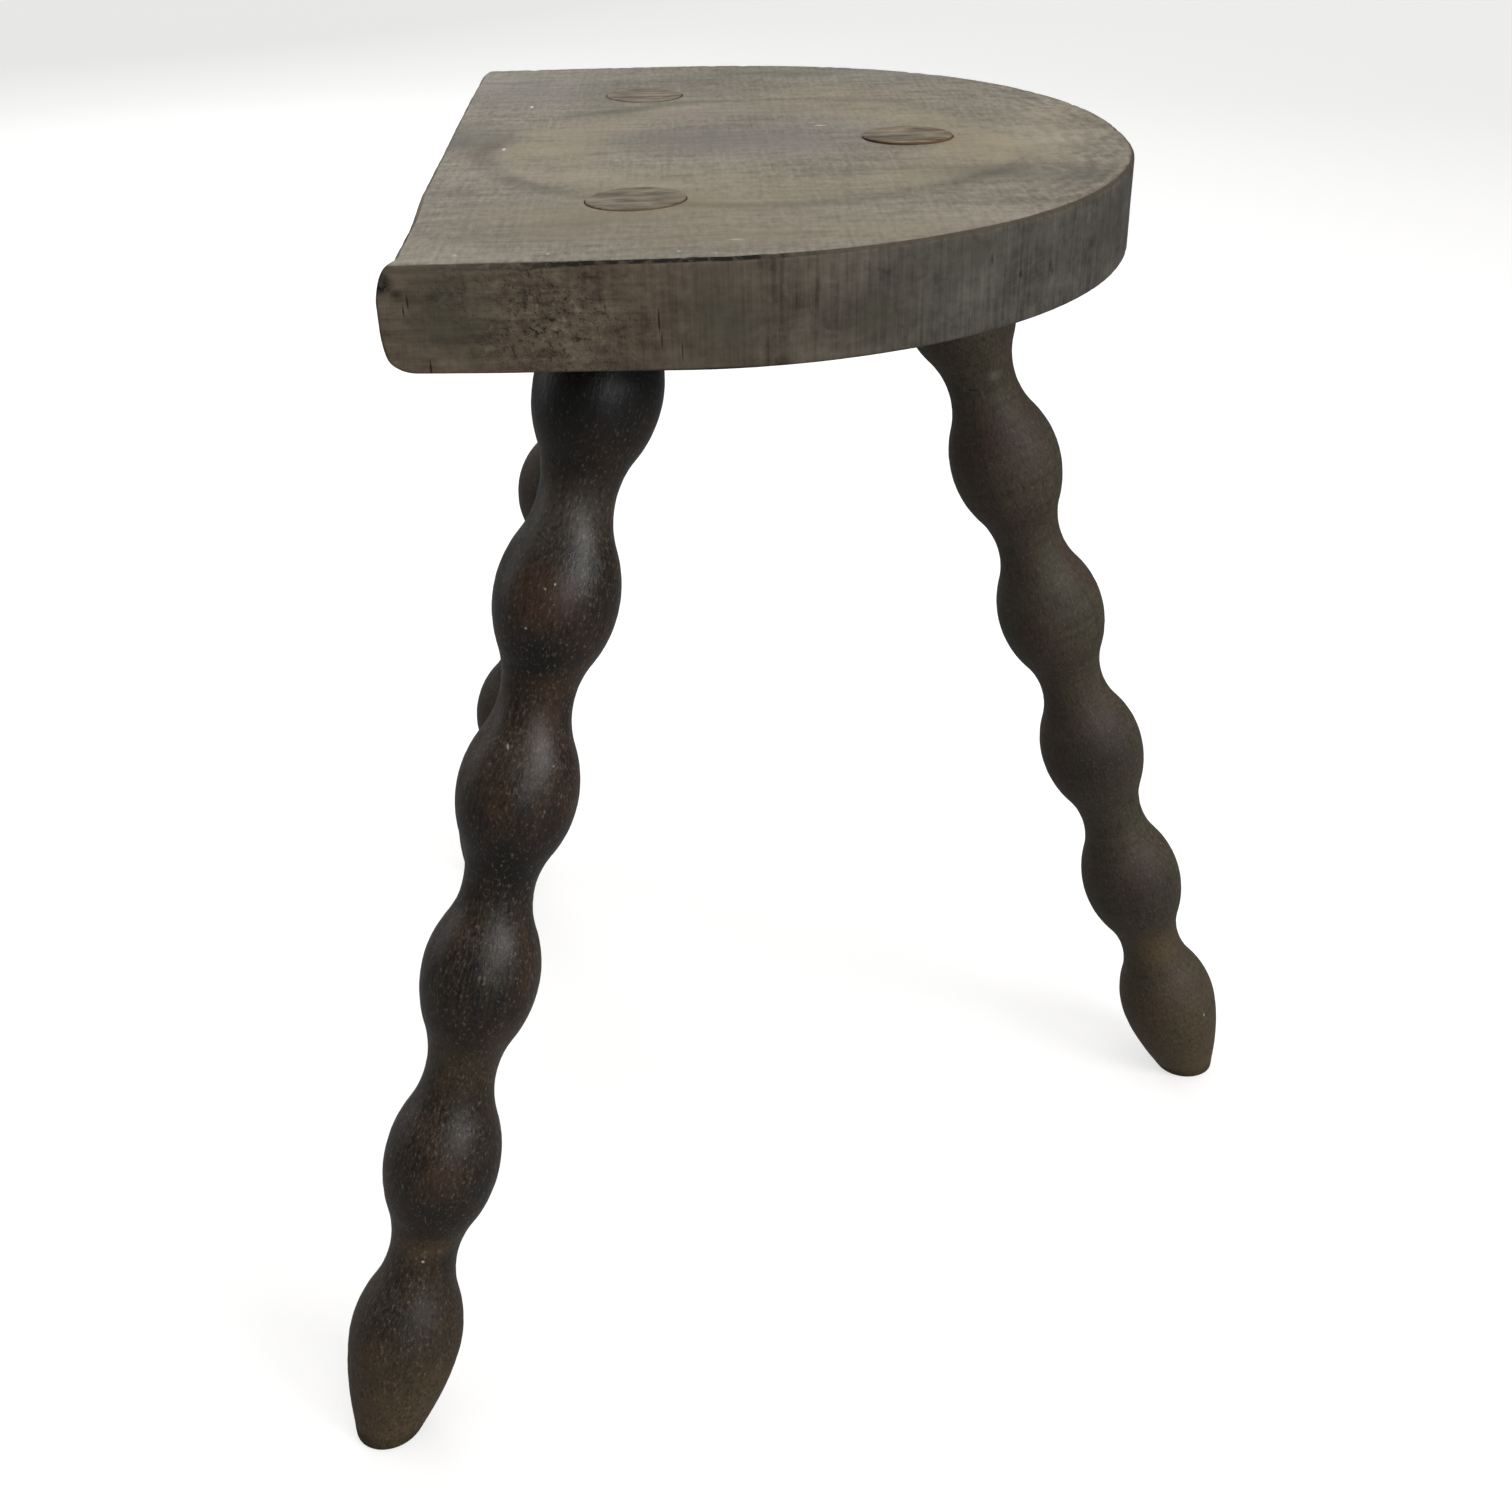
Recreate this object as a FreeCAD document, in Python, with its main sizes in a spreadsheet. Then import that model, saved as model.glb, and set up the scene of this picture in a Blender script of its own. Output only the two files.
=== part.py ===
# A three-legged milking stool: a D-shaped plank seat on three splayed, bobbin-turned legs.
# Millimetres and degrees. +Z is up and the floor is Z = 0. +X runs from the seat's straight edge
# to its round end, and Y runs along the straight edge.
import FreeCAD, Part
import math
import os

import Sketcher

# Driving dimensions, as the cells of the sheet hold them
sizes = {
    # the plank
    "seat_height": "412",
    "seat_thickness": "30",
    "seat_width": "295",
    "straight_side": "84.6",
    "edge_top_round": "7",
    "edge_bottom_round": "11",
    "rim_easing": "1.2",
    # from the straight edge to the point over the part's origin
    "origin_setback": "128.5",
    # how far in from the plank's edges the tenons come through, and how the legs lean
    "round_end_inset": "73.2",
    "square_end_inset": "69.3",
    "square_side_inset": "66.5",
    "round_end_splay_angle": "18.84",
    "square_end_splay_angle": "19.95",
    "square_end_plan_angle": "42.4",
    # tenons
    "tenon_diameter": "29.5",
    "tenon_clearance": "0.25",
    "tenon_proud": "1",
    "tenon_easing": "0.5",
    "shoulder_gap": "0.4",
    # turning, along the leg's own axis
    "bead_diameter": "40",
    "neck_diameter": "23.8",
    "bead_arc_ratio": "0.55",
    "first_rise": "20",
    "pitch_ratio": "1.08",
    "foot_length": "40",
    "foot_diameter": "22",
    "foot_easing": "1.5",
}

# Beads follow each other at the upper pitch, then at the lower pitch, which is longer
upper_intervals = 3
lower_intervals = 2

# Each leg's place on the seat's top, from the middle of the straight edge, and its turn in plan
legs = {
    "round_end_leg": {
        "end": "round_end",
        "along": "Sizes.straight_side + Sizes.seat_width / 2 - Sizes.round_end_inset",
        "across": "0",
        "turn": "0",
    },
    "square_end_leg_left": {
        "end": "square_end",
        "along": "Sizes.square_end_inset",
        "across": "Sizes.seat_width / 2 - Sizes.square_side_inset",
        "turn": "180 - Sizes.square_end_plan_angle",
    },
    "square_end_leg_right": {
        "end": "square_end",
        "along": "Sizes.square_end_inset",
        "across": "Sizes.square_side_inset - Sizes.seat_width / 2",
        "turn": "180 + Sizes.square_end_plan_angle",
    },
}


def worked_sizes(end):
    """The sizes of one end's legs that follow from the driving ones.

    Stations count down the leg's axis from its top, which stands clear of the seat by the rise.
    """
    splay = f"Sizes.{end}_splay_angle"
    bore = "(Sizes.tenon_diameter / 2 + Sizes.tenon_clearance)"
    rise = f"Worked.{end}_rise"
    first = f"Worked.{end}_first"
    intervals = f"({upper_intervals} + {lower_intervals} * Sizes.pitch_ratio)"
    return {
        f"{end}_rise": f"Sizes.tenon_proud / cos({splay}) + {bore} * tan({splay})",
        f"{end}_shoulder": f"{rise} + Sizes.seat_thickness / cos({splay}) + {bore} * tan({splay})"
                           " + Sizes.shoulder_gap",
        f"{end}_first": f"Worked.{end}_shoulder + Sizes.first_rise",
        f"{end}_floor": f"{rise} + Sizes.seat_height / cos({splay})",
        f"{end}_last": f"Worked.{end}_floor - Sizes.foot_length",
        f"{end}_upper": f"(Worked.{end}_last - {first}) / {intervals}",
        f"{end}_lower": f"Worked.{end}_upper * Sizes.pitch_ratio",
    }


def fill_sheet(sheet, cells, lead=""):
    for row, (alias, text) in enumerate(cells.items(), 1):
        sheet.set(f"A{row}", alias)
        sheet.set(f"B{row}", lead + text)
        sheet.setAlias(f"B{row}", alias)


def origin_plane(body, role):
    return next(plane for plane in body.Origin.OriginFeatures if plane.Role == role)


def flat_sketch(body, name, role):
    sketch = body.newObject("Sketcher::SketchObject", name)
    sketch.AttachmentSupport = [(origin_plane(body, role), "")]
    sketch.MapMode = "FlatFace"
    return sketch


def bind(sketch, kind, *where, size):
    """Adds a dimension to a sketch and ties it to an expression."""
    index = sketch.addConstraint(Sketcher.Constraint(kind, *where, number(size)))
    sketch.setExpression(f"Constraints[{index}]", size)


def on_axis(edge, end, letter):
    """A constraint that keeps one point of a sketch edge on the sketch's own x or y axis."""
    return Sketcher.Constraint("PointOnObject", edge, end, -1 if letter == "x" else -2)


def number(text):
    return float(sheet.evalExpression(text))


def edges_on(shape, fits):
    """The numbers of the shape's edges whose ends and middle all meet a condition."""
    found = []
    for index, edge in enumerate(shape.Edges, 1):
        middle = edge.valueAt((edge.FirstParameter + edge.LastParameter) / 2)
        points = [vertex.Point for vertex in edge.Vertexes] + [middle]
        if all(fits(point) for point in points):
            found.append(index)
    return found


def near(value, target):
    return abs(value - target) < 1e-4


def make_seat_blank():
    """The D-shaped plank before its mortises, with the straight edge worn round."""
    body = doc.addObject("PartDesign::Body", "SeatBlank")
    sketch = flat_sketch(body, "SeatOutline", "XY_Plane")
    half = number("Sizes.seat_width") / 2
    side = number("Sizes.straight_side")
    back_right = FreeCAD.Vector(0, -half)
    front_right = FreeCAD.Vector(side, -half)
    front_left = FreeCAD.Vector(side, half)
    back_left = FreeCAD.Vector(0, half)
    round_centre = FreeCAD.Vector(side, 0)
    up = FreeCAD.Vector(0, 0, 1)
    edge = sketch.addGeometry(Part.LineSegment(back_right, back_left))
    right = sketch.addGeometry(Part.LineSegment(back_right, front_right))
    left = sketch.addGeometry(Part.LineSegment(front_left, back_left))
    quarter = math.pi / 2
    end = sketch.addGeometry(Part.ArcOfCircle(Part.Circle(round_centre, up, half), -quarter, quarter))
    sketch.addConstraint([
        Sketcher.Constraint("Coincident", edge, 1, right, 1),
        Sketcher.Constraint("Coincident", edge, 2, left, 2),
        Sketcher.Constraint("Tangent", right, 2, end, 1),
        Sketcher.Constraint("Tangent", end, 2, left, 1),
        Sketcher.Constraint("Horizontal", right),
        Sketcher.Constraint("Horizontal", left),
        Sketcher.Constraint("Vertical", edge),
        on_axis(edge, 1, "y"),
        on_axis(end, 3, "x"),
    ])
    bind(sketch, "DistanceY", edge, 1, edge, 2, size="Sizes.seat_width")
    bind(sketch, "DistanceX", right, 1, right, 2, size="Sizes.straight_side")

    plank = body.newObject("PartDesign::Pad", "Plank")
    plank.Profile = sketch
    plank.setExpression("Length", "Sizes.seat_thickness")
    doc.recompute()

    top = number("Sizes.seat_thickness")
    feature = plank
    for name, height, size in (("TopRound", top, "edge_top_round"), ("BottomRound", 0, "edge_bottom_round")):
        arris = edges_on(feature.Shape, lambda point: near(point.x, 0) and near(point.z, height))
        feature = round_edges(body, name, feature, arris, f"Sizes.{size}")
    rim = edges_on(feature.Shape, lambda point: on_rim(point, half, side, top))
    round_edges(body, "RimEasing", feature, rim, "Sizes.rim_easing")
    body.setExpression("Placement.Base.x", "-Sizes.origin_setback")
    body.setExpression("Placement.Base.z", "Sizes.seat_height - Sizes.seat_thickness")
    return body


def on_rim(point, half, side, top):
    """True on the edges of the plank's sides and round end, but not where the two run smoothly together."""
    if near(point.x, side) and 0 < point.z < top:
        return False
    if point.x > side:
        return near(math.hypot(point.x - side, point.y), half)
    return near(abs(point.y), half)


def round_edges(body, name, base, edges, size):
    feature = body.newObject("PartDesign::Fillet", name)
    feature.Base = (base, [f"Edge{index}" for index in edges])
    feature.setExpression("Radius", size)
    doc.recompute()
    return feature


def leg_place(leg):
    """Where a leg's top lies and how the leg leans: its own +Z runs down to the foot."""
    end = leg["end"]
    splay = f"Sizes.{end}_splay_angle"
    turn = f"({leg['turn']})"
    back = f"Worked.{end}_rise * sin({splay})"
    x = f"{leg['along']} - Sizes.origin_setback - {back} * cos{turn}"
    y = f"{leg['across']} - {back} * sin{turn}"
    z = f"Sizes.seat_height + Worked.{end}_rise * cos({splay})"
    return f"placement(vector({x}; {y}; {z}); rotation({turn}; 180 - {splay}; 0))"


def leg_outline(end):
    """Stops down the turned outline, each with its radius, its station and how it is reached.

    A stop is reached by a straight line, or by an arc of the given radius that swells (bead) or
    hollows (neck). Each half interval is a bead arc and a neck arc that meet on the line from
    crest to neck, at bead_arc_ratio of the way, so that they are tangent there.
    """
    bead = "Sizes.bead_diameter / 2"
    tenon = "Sizes.tenon_diameter / 2"
    foot = "Sizes.foot_diameter / 2"
    shoulder = f"Worked.{end}_shoulder"
    floor = f"Worked.{end}_floor"
    swell = "((Sizes.bead_diameter - Sizes.tenon_diameter) / 2)"
    drop = "((Sizes.bead_diameter - Sizes.neck_diameter) / 2)"
    taper = "((Sizes.bead_diameter - Sizes.foot_diameter) / 2)"
    share = "Sizes.bead_arc_ratio"
    foot_arc = arc_radius("Sizes.foot_length", taper)
    over = f"({foot} * tan(Sizes.{end}_splay_angle))"
    crest = f"Worked.{end}_first"
    stops = [
        ("0", "0", None, None),
        (tenon, "0", None, None),
        (tenon, shoulder, None, None),
        (bead, crest, arc_radius("Sizes.first_rise", swell), "bead"),
    ]
    for interval in range(upper_intervals + lower_intervals):
        pitch = f"Worked.{end}_upper" if interval < upper_intervals else f"Worked.{end}_lower"
        total = arc_radius(f"({pitch} / 2)", drop)
        meet = f"{bead} - {share} * {drop}"
        step = f"{share} * {pitch} / 2"
        stops.append((meet, f"{crest} + {step}", f"{share} * {total}", "bead"))
        crest = f"{crest} + {pitch}"
        stops.append((meet, f"{crest} - {step}", f"(1 - {share}) * {total}", "neck"))
        stops.append((bead, crest, f"{share} * {total}", "bead"))
    tip = f"{foot} - {over} * Sizes.foot_length / ({foot_arc} - {taper})"
    stops.append((foot, floor, foot_arc, "bead"))
    stops.append((tip, f"{floor} + {over}", None, None))
    stops.append(("0", f"{floor} + {over}", None, None))
    return stops


def arc_radius(run, height):
    """The radius of an arc that starts level and rises by the height over the run."""
    return f"(({run} ^ 2 + {height} ^ 2) / (2 * {height}))"


def arc_between(start, end, radius, kind):
    """The short arc from one stop to the next, with its centre nearer the axis for a bead."""
    chord = end - start
    middle = (start + end) / 2
    inward = FreeCAD.Vector(-chord.y, chord.x) / chord.Length
    bulge = radius - math.sqrt(radius ** 2 - (chord.Length / 2) ** 2)
    through = middle - inward * bulge if kind == "bead" else middle + inward * bulge
    return Part.Arc(start, through, end)


def ends_of(sketch, index, start):
    """Which of a sketch edge's two ends lies at the start, and which is its other end."""
    one_gap, two_gap = (sketch.getPoint(index, end).distanceToPoint(start) for end in (1, 2))
    return (1, 2) if one_gap < two_gap else (2, 1)


def make_leg_blank(name, leg):
    """One leg as it comes off the lathe: tenon, beads and foot in one piece, a little too long."""
    body = doc.addObject("PartDesign::Body", f"{name}_blank")
    sketch = flat_sketch(body, f"{name}_outline", "XZ_Plane")
    stops = leg_outline(leg["end"])
    points = [FreeCAD.Vector(number(radius), number(station)) for radius, station, _, _ in stops]
    first = None
    last = None
    for stop, start, end in zip(stops[1:], points, points[1:]):
        radius, station, arc, kind = stop
        shape = arc_between(start, end, number(arc), kind) if arc else Part.LineSegment(start, end)
        index = sketch.addGeometry(shape)
        near_end, far_end = ends_of(sketch, index, start)
        if last is None:
            first = (index, near_end)
        else:
            sketch.addConstraint(Sketcher.Constraint("Coincident", *last, index, near_end))
        if arc:
            bind(sketch, "Radius", index, size=arc)
        if radius == "0":
            sketch.addConstraint(on_axis(index, far_end, "y"))
        else:
            bind(sketch, "DistanceX", index, far_end, size=radius)
        if station == "0":
            sketch.addConstraint(on_axis(index, far_end, "x"))
        else:
            bind(sketch, "DistanceY", index, far_end, size=station)
        last = (index, far_end)
    axis = sketch.addGeometry(Part.LineSegment(points[-1], points[0]))
    sketch.addConstraint(Sketcher.Constraint("Coincident", *last, axis, 1))
    sketch.addConstraint(Sketcher.Constraint("Coincident", axis, 2, *first))
    sketch.addConstraint([on_axis(*first, "x"), on_axis(*first, "y")])
    turning = body.newObject("PartDesign::Revolution", f"{name}_turning")
    turning.Profile = sketch
    turning.ReferenceAxis = (sketch, ["V_Axis"])
    turning.Angle = 360
    body.setExpression("Placement", leg_place(leg))
    return body


def make_standing_room():
    """The space between the floor and the tops of the tenons, which trims each leg level at both ends."""
    room = doc.addObject("Part::Box", "StandingRoom")
    reach = "4 * (Sizes.seat_height + Sizes.seat_width)"
    room.setExpression("Length", reach)
    room.setExpression("Width", reach)
    room.setExpression("Height", "Sizes.seat_height + Sizes.tenon_proud")
    room.setExpression("Placement.Base.x", f"-{reach} / 2")
    room.setExpression("Placement.Base.y", f"-{reach} / 2")
    return room


def make_leg(name, leg, room):
    """A leg cut level with the floor and just above the seat, with both rims eased."""
    trimmed = doc.addObject("Part::Common", f"{name}_trimmed")
    trimmed.Base = make_leg_blank(name, leg)
    trimmed.Tool = room
    doc.recompute()
    top = number("Sizes.seat_height + Sizes.tenon_proud")
    foot_rim = edges_on(trimmed.Shape, lambda point: near(point.z, 0))
    tenon_rim = edges_on(trimmed.Shape, lambda point: near(point.z, top))
    foot_easing = number("Sizes.foot_easing")
    tenon_easing = number("Sizes.tenon_easing")
    eased = doc.addObject("Part::Fillet", name)
    eased.Base = trimmed
    eased.Edges = ([(index, foot_easing, foot_easing) for index in foot_rim]
                   + [(index, tenon_easing, tenon_easing) for index in tenon_rim])
    eased.Label = name
    return eased


def make_mortise(name, leg):
    """The slanted hole for one leg's tenon, on the leg's own axis."""
    mortise = doc.addObject("Part::Cylinder", f"{name}_mortise")
    mortise.setExpression("Radius", "Sizes.tenon_diameter / 2 + Sizes.tenon_clearance")
    mortise.setExpression("Height", f"Worked.{leg['end']}_shoulder")
    mortise.setExpression("Placement", leg_place(leg))
    return mortise


def make_seat():
    holes = doc.addObject("Part::MultiFuse", "Mortises")
    holes.Shapes = [make_mortise(name, leg) for name, leg in legs.items()]
    seat = doc.addObject("Part::Cut", "seat_plank")
    seat.Base = make_seat_blank()
    seat.Tool = holes
    seat.Label = "seat_plank"
    return seat


def check(parts):
    for item in doc.Objects:
        if "Invalid" in item.State or "Error" in item.State:
            raise RuntimeError(f"{item.Name} failed: {item.State}")
    for part in parts:
        if part.Shape.isNull() or not part.Shape.isValid() or len(part.Shape.Solids) != 1:
            raise RuntimeError(f"{part.Label} is not one valid solid")
        box = part.Shape.optimalBoundingBox(False)
        print(f"{part.Label}: {part.Shape.Volume / 1000:.1f} cm3, X {box.XMin:.2f} to {box.XMax:.2f},"
              f" Y {box.YMin:.2f} to {box.YMax:.2f}, Z {box.ZMin:.2f} to {box.ZMax:.2f}")


doc = FreeCAD.newDocument("milking_stool")
sheet = doc.addObject("Spreadsheet::Sheet", "Sizes")
fill_sheet(sheet, sizes)
worked = doc.addObject("Spreadsheet::Sheet", "Worked")
fill_sheet(worked, {**worked_sizes("round_end"), **worked_sizes("square_end")}, "=")
doc.recompute()

standing_room = make_standing_room()
parts = [make_seat()]
parts += [make_leg(name, leg, standing_room) for name, leg in legs.items()]
doc.recompute()
check(parts)

os.makedirs("parts", exist_ok=True)
for part in parts:
    part.Shape.exportStep(f"parts/{part.Label}.step")
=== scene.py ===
import math
from functools import partial
import bmesh
import bpy
import numpy as np
from mathutils import Matrix, Vector


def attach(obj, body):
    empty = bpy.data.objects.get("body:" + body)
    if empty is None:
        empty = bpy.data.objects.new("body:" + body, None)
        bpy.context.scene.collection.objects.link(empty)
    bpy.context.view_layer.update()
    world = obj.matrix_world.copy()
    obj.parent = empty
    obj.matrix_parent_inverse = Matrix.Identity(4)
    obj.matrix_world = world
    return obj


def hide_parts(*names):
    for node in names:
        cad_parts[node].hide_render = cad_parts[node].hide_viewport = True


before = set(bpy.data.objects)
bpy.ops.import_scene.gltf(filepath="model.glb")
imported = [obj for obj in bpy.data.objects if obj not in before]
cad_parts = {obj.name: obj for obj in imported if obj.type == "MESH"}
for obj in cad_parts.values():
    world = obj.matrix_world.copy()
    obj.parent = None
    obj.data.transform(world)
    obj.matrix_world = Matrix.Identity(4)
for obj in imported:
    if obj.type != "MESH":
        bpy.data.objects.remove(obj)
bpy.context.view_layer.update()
mm = 0.001  # shapes are worked out in millimetres, the scene is in metres
seamGap = 0.002  # points of neighbouring grids that are nearer than this are one, mm
tiny = 1e-9  # keeps divisions away from zero
print("frame loaded:", ", ".join(sorted(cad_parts)))


# sRGB hex to linear light
def linear(hexColour):
    parts = [int(hexColour[i:i + 2], 16) / 255 for i in (1, 3, 5)]
    return [c / 12.92 if c <= 0.04045 else ((c + 0.055) / 1.055) ** 2.4 for c in parts] + [1.0]


# the setting that the second word of a node's kind stands for
modeNames = {
    "Math": "operation", "VectorMath": "operation", "Mix": "data_type", "MapRange": "interpolation_type"}


# one node, with its inputs as a list in the order of the sockets or as a dictionary by name
# a MapRange has its value, the ends of its range, then the ends of the range that this becomes
# a node or a socket is linked, a hex colour is turned to linear, anything else is the socket's own value
def addNode(tree, kind, inputs=(), **settings):
    kind, *mode = kind.split()
    made = tree.nodes.new("ShaderNode" + kind)
    if mode:
        settings[modeNames[kind]] = mode[0]
    for name, value in settings.items():
        setattr(made, name, value)
    live = [s for s in made.inputs if s.enabled]
    for key, value in inputs.items() if isinstance(inputs, dict) else enumerate(inputs):
        socket = live[key] if isinstance(key, int) else next(s for s in live if s.name == key)
        if isinstance(value, bpy.types.Node):
            value = next(s for s in value.outputs if s.enabled)
        if isinstance(value, bpy.types.NodeSocket):
            tree.links.new(value, socket)
        else:
            socket.default_value = linear(value) if isinstance(value, str) else value
    return made


# an empty material, and addNode tied to its own tree
def emptyMaterial(name):
    material = bpy.data.materials.new(name)
    material.use_nodes = True
    material.node_tree.nodes.clear()
    return material, partial(addNode, material.node_tree)


# the surface of a material, with its heights in mm
def finishMaterial(add, colour, rough, height, shine):
    bump = add("Bump", {"Height": height, "Distance": mm, "Strength": 1.0})
    surface = add("BsdfPrincipled", {
        "Base Color": colour, "Roughness": rough, "Normal": bump, "IOR": 1.5, "Specular IOR Level": shine})
    add("OutputMaterial", {"Surface": surface})


# noise layers by name: each has its grain size in mm along x, y and z, then detail, roughness and distortion
def grainLayers(add, vector, layers):
    made = {}
    for name, (size, detail, rough, warp) in layers.items():
        mapped = add("Mapping", {"Vector": vector, "Scale": [1 / (length * mm) for length in size]})
        made[name] = add("TexNoise", {
            "Vector": mapped, "Scale": 1.0, "Detail": detail, "Roughness": rough, "Distortion": warp})
    return made


# the sum of grain layers, each times its weight
def weightedSum(add, grain, weights):
    total = 0.0
    for layer, weight in weights.items():
        total = add("Math MULTIPLY_ADD", [grain[layer], weight, total])
    return total


# how far each place is from a middle, counted in half sizes; both are given in mm
def farness(add, vector, middle, half):
    shifted = add("VectorMath SUBTRACT", [vector, [c * mm for c in middle]])
    scaled = add("VectorMath MULTIPLY", [shifted, [1 / (h * mm) for h in half]])
    return add("VectorMath LENGTH", [scaled]).outputs["Value"]


# soft ellipsoid masks by name, the strongest at each place: a spot has its middle and half sizes in mm
# and its strength
def spotMasks(add, vector, groups):
    made = {}
    for name, spots in groups.items():
        joined = 0.0
        for middle, half, strength in spots:
            far = farness(add, vector, middle, half)
            mask = add("MapRange SMOOTHSTEP", [far, 1.0, 0.0, 0, strength])
            joined = add("Math MAXIMUM", [mask, joined])
        made[name] = joined
    return made


# 0 below low, 1 above high, and a smooth step between
def ease(value, low, high):
    t = np.clip((value - low) / (high - low), 0, 1)
    return t * t * (3 - 2 * t)


# a smooth random height, about -1 to 1: a sum of plane waves from the shortest to the longest length (mm)
# stretch divides the wave's direction, so that a pattern can run long one way
def wander(points, shortest, longest, seed, stretch, waves=14):
    dice = np.random.default_rng(seed)
    total = np.zeros(points.shape[:-1])
    for length in np.geomspace(shortest, longest, waves):
        way = dice.normal(size=3)
        way = way / np.linalg.norm(way) / np.array(stretch)
        total = total + np.sin(2 * math.pi / length * (points @ way) + dice.uniform(0, 2 * math.pi))
    return total / math.sqrt(waves)


# a wear pattern: its mean plus weighted wanders, kept between 0 and the most
def wear(points, mean, most, *waves):
    total = mean
    for weight, *wave in waves:
        total = total + weight * wander(points, *wave)
    return np.clip(total, 0, most)


# quads between neighbouring rows and columns of a grid whose first vertex has this number
def gridFaces(rows, columns, first=0, wrap=False):
    numbers = first + np.arange(rows * columns).reshape(rows, columns)
    if wrap:
        numbers = np.concatenate([numbers, numbers[:, :1]], axis=1)
    a, b = numbers[:-1, :-1], numbers[:-1, 1:]
    c, d = numbers[1:, 1:], numbers[1:, :-1]
    return np.stack([a, b, c, d], axis=-1).reshape(-1, 4).tolist()


# rings of points closed round, with a fan to a middle point at each end
def closedRings(rings, startPole, endPole):
    rows, columns = rings.shape[:2]
    points = np.concatenate([rings.reshape(-1, 3), [startPole, endPole]])
    ring = np.arange(columns)
    nextOne = np.roll(ring, -1)
    last = (rows - 1) * columns
    startFan = np.stack([np.full(columns, rows * columns), nextOne, ring], axis=-1)
    endFan = np.stack([np.full(columns, rows * columns + 1), last + ring, last + nextOne], axis=-1)
    return points, gridFaces(rows, columns, 0, True) + startFan.tolist() + endFan.tolist()


# a mesh object at the origin, from points in millimetres
def makePiece(name, points, faces, materials):
    mesh = bpy.data.meshes.new(name)
    mesh.from_pydata((points * mm).tolist(), [], faces)
    for material in materials:
        mesh.materials.append(material)
    mesh.polygons.foreach_set("use_smooth", np.ones(len(mesh.polygons), bool))
    piece = bpy.data.objects.new(name, mesh)
    bpy.context.scene.collection.objects.link(piece)
    return piece


# merges the seams between grids and turns every face outwards
def closeSeams(piece):
    work = bmesh.new()
    work.from_mesh(piece.data)
    bmesh.ops.remove_doubles(work, verts=work.verts, dist=seamGap * mm)
    bmesh.ops.recalc_face_normals(work, faces=work.faces)
    work.to_mesh(piece.data)
    work.free()


seatShape = {
    "straightEdge": -128.4, "sideEnd": -43.9, "radius": 147.4, "top": 412.0, "underside": 382.0,
    "fullest": 401.8,  # height at which the straight edge stands out furthest
    "upperRound": (4.2, 10.2), "lowerRound": (11.2, 19.8),  # its section above and below that, across and up
    "upperPower": 1.6, "lowerPower": 3.4,
    "arris": 0.8, "arrisSteps": 4, "edgeSteps": 18, "alongCells": 72, "acrossCells": 400, "wallRows": 40,
    # corners rubbed round: the far one and the far quarter seen from above, then the top arris
    "farCorner": 9.5, "fuller": 3.6, "fullerPower": 4,
    "rimEase": 1.7, "farEase": 0.9, "farEaseSpan": (0, 60), "nearEase": 3.2, "nearEaseSpan": (-98, -64),
    # the straight edge: the band that moves, its wander, and a worn hollow by the near corner (along -y)
    "edgeBand": (15, 3), "edgeWander": 0.35, "scoop": 1.7, "scoopDrop": 0.15,
    "scoopFrom": (52, 104), "scoopTo": (136, 146), "scoopHeights": (399, 410),
    # the sawn rim, and torn grain on its near side with the spans of x and z over which it comes and goes
    "rimDepth": 1.5, "sawRipple": 0.07, "pits": 0.55,
    "tornFrom": (-103, -91), "tornTo": (-72, -56), "tornAbove": (383, 389), "tornBelow": (406, 410),
    "arrisWear": 0.35, "arrisReach": 2.2, "wornShare": 0.6,  # the knocked top arris
    # top and underside: how deep each face's moves go, hollows, plane marks, rise of the underside, cup
    "topSkin": (2, 0.2), "lowSkin": (0.2, 6), "topWander": 0.2, "planing": 0.03,
    "wedge": 0.7, "wedgeLeast": 0.5, "wedgeSpan": (30, 128), "edgeLift": 0.5, "edgeLiftSpan": (92, 126),
    "cup": 0.9, "cupFrom": -20, "cupPower": 1.15,
    # mortises: room round the tenon, and the tools that cut them
    "mortiseGap": 0.25, "boreColumns": 96, "boreStations": (-14.0, 52.0), "sharpAngle": 50,
    # wear: mean and most, then waves with their weight, shortest and longest in mm, seed, stretch in x, y, z
    "wear": {
        "edge": (0.5, 1.3, (0.4, 38, 110, 11, (1, 1, 0.6)), (0.22, 9, 26, 12, (1, 1, 0.5))),
        "saw": (0.7, 3, (1, 3.6, 14, 13, (1, 1, 7)), (0.8, 30, 120, 14, (1, 1, 4))),
        "torn": (-0.35, 2, (1, 2.6, 6.5, 15, (1, 1, 1))), "knocks": (-0.3, 1.4, (1, 5, 45, 16, (1, 1, 1))),
        "hollow": (0.5, 1, (0.5, 40, 160, 17, (1.6, 1, 1))),
    },
    "planeMarks": (4.5, 11, 18, (1, 5, 1)),
}


# a quarter superellipse (X/A)^n + (Z/B)^n = 1 from the fullest line to the flat, and its outward normal
def straightEdgeSection(size, power, upward):
    s = seatShape
    turn = np.linspace(0, math.pi / 2, s["edgeSteps"] + 1)
    across = np.clip(np.cos(turn), 0, 1) ** (2 / power)
    up = np.clip(np.sin(turn), 0, 1) ** (2 / power)
    x = s["straightEdge"] + size[0] * (1 - across)
    z = s["fullest"] + upward * size[1] * up
    outward, onward = -across ** (power - 1) / size[0], upward * up ** (power - 1) / size[1]
    normal = np.stack([outward, 0 * x, onward], axis=-1)
    return x, z, normal / np.linalg.norm(normal, axis=-1, keepdims=True)


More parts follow.
